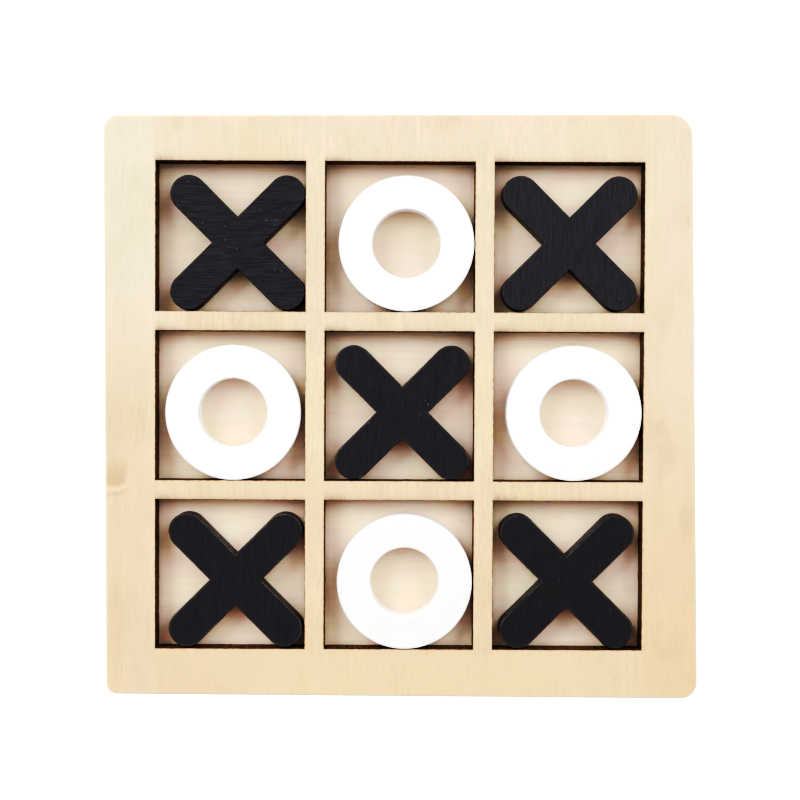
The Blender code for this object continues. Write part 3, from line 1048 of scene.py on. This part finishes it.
def ring_profile(outer, inner, low, top):
    """Section of a ring, from its outer wall over the top, down the hole and back under:
    radius, z, distance from the top's edges, how far the surface is a wall."""
    edge = RING_ARRIS
    degrees = (6, 24, 42, 60, 78)
    arc = [(inset, drop, 1.0 - math.radians(angle) / 1.6)
           for (inset, drop), angle in zip(rounding(edge, degrees), degrees)]
    wall_z = [low + edge + (top - low - 2 * edge) * part
              for part in (0.15, 0.35, 0.5, 0.65, 0.85)]
    profile = [(outer - inset, top - drop, inset, wall) for inset, drop, wall in arc]
    for i in range(15):
        radius = (outer - edge) + (inner + edge - (outer - edge)) * i / 14
        profile.append((radius, top, min(outer - radius, radius - inner), 0.0))
    profile += [(inner + inset, top - drop, inset, wall) for inset, drop, wall in reversed(arc)]
    profile += [(inner, z, NO_EDGE, 1.0) for z in reversed(wall_z)]
    profile += [(inner + inset, low + rise, NO_EDGE, 1.0) for inset, rise, _ in arc]
    profile += [((inner + edge) + (outer - inner - 2 * edge) * i / 5, low, NO_EDGE, 0.0)
                for i in range(6)]
    profile += [(outer - inset, low + rise, NO_EDGE, 1.0) for inset, rise, _ in reversed(arc)]
    profile += [(outer, z, NO_EDGE, 1.0) for z in wall_z]
    return profile


def ring_piece(name, node, material, seed, steps=200):
    lo, hi = node_box(node)
    top = hi[2]
    profile = ring_profile((hi[0] - lo[0]) / 2, RING_INNER_R, PIECE_LOW, top)
    radius, z, edge, wall = (np.repeat(column, steps) for column in zip(*profile))
    angle = np.tile(2 * math.pi * np.arange(steps) / steps, len(profile))
    local = np.stack([radius * np.cos(angle), radius * np.sin(angle)], 1)

    # hand finishing: a faint ripple on the top and the walls
    xy = local + ((lo + hi) / 2)[:2]
    fine = ripple(xy, 0.5, seed * 2.9, seed, octaves=3)
    z = z + (z > top - 0.02) * (0.018 * fine - 0.018)
    xy = xy + outward(local) * ((0.012 * fine - 0.010) * wall)[:, None]
    obj = build(name, np.column_stack([xy, z]), loft(len(profile), steps, closed=True),
                [material], {"edge": edge, "wall": wall}, PIECE_SHARP)
    clean(obj, weld=False)


# ------------------------------------------------------------------ the set
# node, grain along X, seed, wear and painted edge highlight, streak, tone, flecks
CROSSES = (
    ("x_piece_top_left",     True,  1.0, 0.15, 1.0, 1.02, 1.0),
    ("x_piece_top_right",    False, 2.0, 0.22, 0.6, 1.14, 0.6),
    ("x_piece_centre",       False, 3.0, 0.50, 0.5, 0.96, 0.8),
    ("x_piece_bottom_left",  False, 4.0, 0.80, 0.4, 0.92, 0.4),
    ("x_piece_bottom_right", False, 5.0, 0.60, 0.3, 0.88, 0.2),
)
RINGS = ("o_piece_top_middle", "o_piece_middle_left", "o_piece_middle_right",
         "o_piece_bottom_middle")


def register(obj, body, node):
    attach(obj, body)
    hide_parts(node)


def board_and_pieces():
    register(grid_sheet(), "board", "grid_frame")
    register(base_sheet(), "board", "base_board")

    body_of_node = {}
    for body, nodes in frame["record"]["behaviour"]["bodies"].items():
        for node in nodes:
            body_of_node[node] = body

    for node, grain_x, seed, *look in CROSSES:
        name = node.replace("_piece_", "_painted_")
        place = node.removeprefix("x_piece_")
        cross_piece(name, node, black_paint("black_" + place, grain_x, seed, *look), seed)
        register(bpy.data.objects[name], body_of_node[node], node)

    for k, node in enumerate(RINGS):
        name = node.replace("_piece_", "_painted_")
        place = node.removeprefix("o_piece_")
        ring_piece(name, node, white_paint("white_" + place, seed=11.0 + k), seed=6.0 + k)
        register(bpy.data.objects[name], body_of_node[node], node)


# ------------------------------------------------------------------ stage and light
FLOOR_HALF = 6.0         # half the side of the studio floor, m
FLOOR_DROP = 0.00005     # how far it lies below the board, m
LAMP_DISTANCE = 1.7      # m
LAMP_COLOUR = (0.985, 1.026, 1.018)
# Broad soft light from the far side and both flanks, none from straight above. name,
# elevation and azimuth from +Y towards +X (degrees), then width and height (m) and
# power (W) for a lamp 1 m away
LAMPS = (
    ("far_left",  40, -50, (0.60, 0.50), 6.87),
    ("far_right", 40,  50, (0.60, 0.50), 4.59),
    ("left",      45, -90, (0.60, 0.50), 1.71),
    ("right",     45,  90, (0.60, 0.50), 1.43),
    ("far_high",  70,   0, (0.90, 0.35), 1.41),
    ("near",      45, 180, (0.80, 0.40), 0.39),
)


def studio_white():
    """A plain white sweep from straight above. At lower angles a contact shadow shows
    near the board, and what the camera sees beyond it stays white to the horizon."""
    mat = Material("studio_floor")
    grainy = mat.noise_at(mat.mm, scale=0.02)
    incoming = mat.output("ShaderNodeNewGeometry", "Incoming")
    dot = mat.node("ShaderNodeVectorMath", ((0, incoming), (1, (0.0, 0.0, 1.0))),
                   operation="DOT_PRODUCT")
    glow = Value(mat, dot.outputs["Value"]).ramp(0.80, 0.90, out=(0.35, 1.30))
    away = mat.length(mat.x, mat.y)
    beyond = (away.ramp(140.0, 420.0, out=(0.0, 1.1))
              * mat.output("ShaderNodeLightPath", "Is Camera Ray"))
    return mat.finish(Base_Color=mat.mix(grainy, (0.90, 0.90, 0.90), (0.91, 0.91, 0.91)),
                      Roughness=0.9, Specular_IOR_Level=0.0,
                      Emission_Color=(1.0, 1.0, 1.0), Emission_Strength=glow + beyond)


def studio_floor():
    material = studio_white()
    mesh = bpy.data.meshes.new("studio_floor")
    bm = bmesh.new()
    bmesh.ops.create_grid(bm, x_segments=8, y_segments=8, size=FLOOR_HALF)
    bm.to_mesh(mesh)
    bm.free()
    mesh.materials.append(material)
    floor = bpy.data.objects.new("studio_floor", mesh)
    floor.location = (0, 0, -FLOOR_DROP)
    bpy.context.scene.collection.objects.link(floor)


def studio_world():
    """Dim pinkish fill on the board, plain white to the camera."""
    world = bpy.data.worlds.new("studio")
    world.use_nodes = True
    nodes, links = world.node_tree.nodes, world.node_tree.links
    fill = nodes["Background"]
    fill.inputs["Color"].default_value = (1.0, 0.765, 0.815, 1.0)
    fill.inputs["Strength"].default_value = 0.192
    shown = nodes.new("ShaderNodeBackground")
    shown.inputs["Color"].default_value = (1.0, 1.0, 1.0, 1.0)
    shown.inputs["Strength"].default_value = 1.5
    path = nodes.new("ShaderNodeLightPath")
    mixer = nodes.new("ShaderNodeMixShader")
    links.new(path.outputs["Is Camera Ray"], mixer.inputs[0])
    links.new(fill.outputs[0], mixer.inputs[1])
    links.new(shown.outputs[0], mixer.inputs[2])
    links.new(mixer.outputs[0], nodes["World Output"].inputs["Surface"])
    bpy.context.scene.world = world


def lamps():
    """Softboxes around the board, all aimed at the origin."""
    for name, elevation, azimuth, (width, height), watts in LAMPS:
        up, around = math.radians(elevation), math.radians(azimuth)
        direction = (math.cos(up) * math.sin(around), math.cos(up) * math.cos(around),
                     math.sin(up))
        spot = Vector([LAMP_DISTANCE * part for part in direction])
        lamp = bpy.data.lights.new(name, "AREA")
        lamp.shape = "RECTANGLE"
        lamp.size, lamp.size_y = width * LAMP_DISTANCE, height * LAMP_DISTANCE
        lamp.energy = watts * LAMP_DISTANCE ** 2
        lamp.color = LAMP_COLOUR
        obj = bpy.data.objects.new(name, lamp)
        obj.location = spot
        obj.rotation_euler = (Vector((0, 0, 0)) - spot).to_track_quat("-Z", "Y").to_euler()
        bpy.context.scene.collection.objects.link(obj)


# ------------------------------------------------------------------ camera
SENSOR_WIDTH = 36.0
FOCAL_LENGTH = 59.769
CAMERA_X, CAMERA_Y = -0.00012, 0.00832       # m
CAMERA_HEIGHT = 0.3161                       # above the grid's top face, m
CAMERA_TURN = (0.02154, 0.00085, -0.00454)   # board to camera, about X, Y, Z, radians


def camera():
    """Above the board, looking down, tipped by about a degree."""
    data = bpy.data.cameras.new("camera")
    data.sensor_width = SENSOR_WIDTH
    data.lens = FOCAL_LENGTH
    data.clip_start, data.clip_end = 0.01, 20.0
    obj = bpy.data.objects.new("camera", data)
    turn_x, turn_y, turn_z = (Matrix.Rotation(angle, 3, axis)
                              for angle, axis in zip(CAMERA_TURN, "XYZ"))
    board_to_camera = turn_z @ turn_y @ turn_x
    place = Matrix.Translation((CAMERA_X, CAMERA_Y, CAMERA_HEIGHT + TOP * MM))
    obj.matrix_world = place @ board_to_camera.transposed().to_4x4()
    bpy.context.scene.collection.objects.link(obj)
    bpy.context.scene.camera = obj


def view_curves():
    """Gives the image the contrast of TONE and the blue shadows of BLUE_LIFT."""
    view = bpy.context.scene.view_settings
    view.view_transform = "Standard"
    view.look = "None"
    view.exposure = 0.0
    view.gamma = 1.0
    view.use_curve_mapping = True
    mapping = view.curve_mapping
    white, white_shown = TONE[-1]
    mapping.white_level = (white,) * 3
    _, _, blue, combined = mapping.curves
    combined.points[0].location = TONE[0]
    combined.points[1].location = (1.0, white_shown)
    for light, shown in TONE[1:-1]:
        combined.points.new(light / white, shown)
    for light, gain in BLUE_LIFT:
        blue.points.new(light / white, light * gain / white)
    blue.points.new(BLUE_TOP, BLUE_TOP)
    mapping.update()


board_and_pieces()
studio_floor()
studio_world()
lamps()
camera()
view_curves()
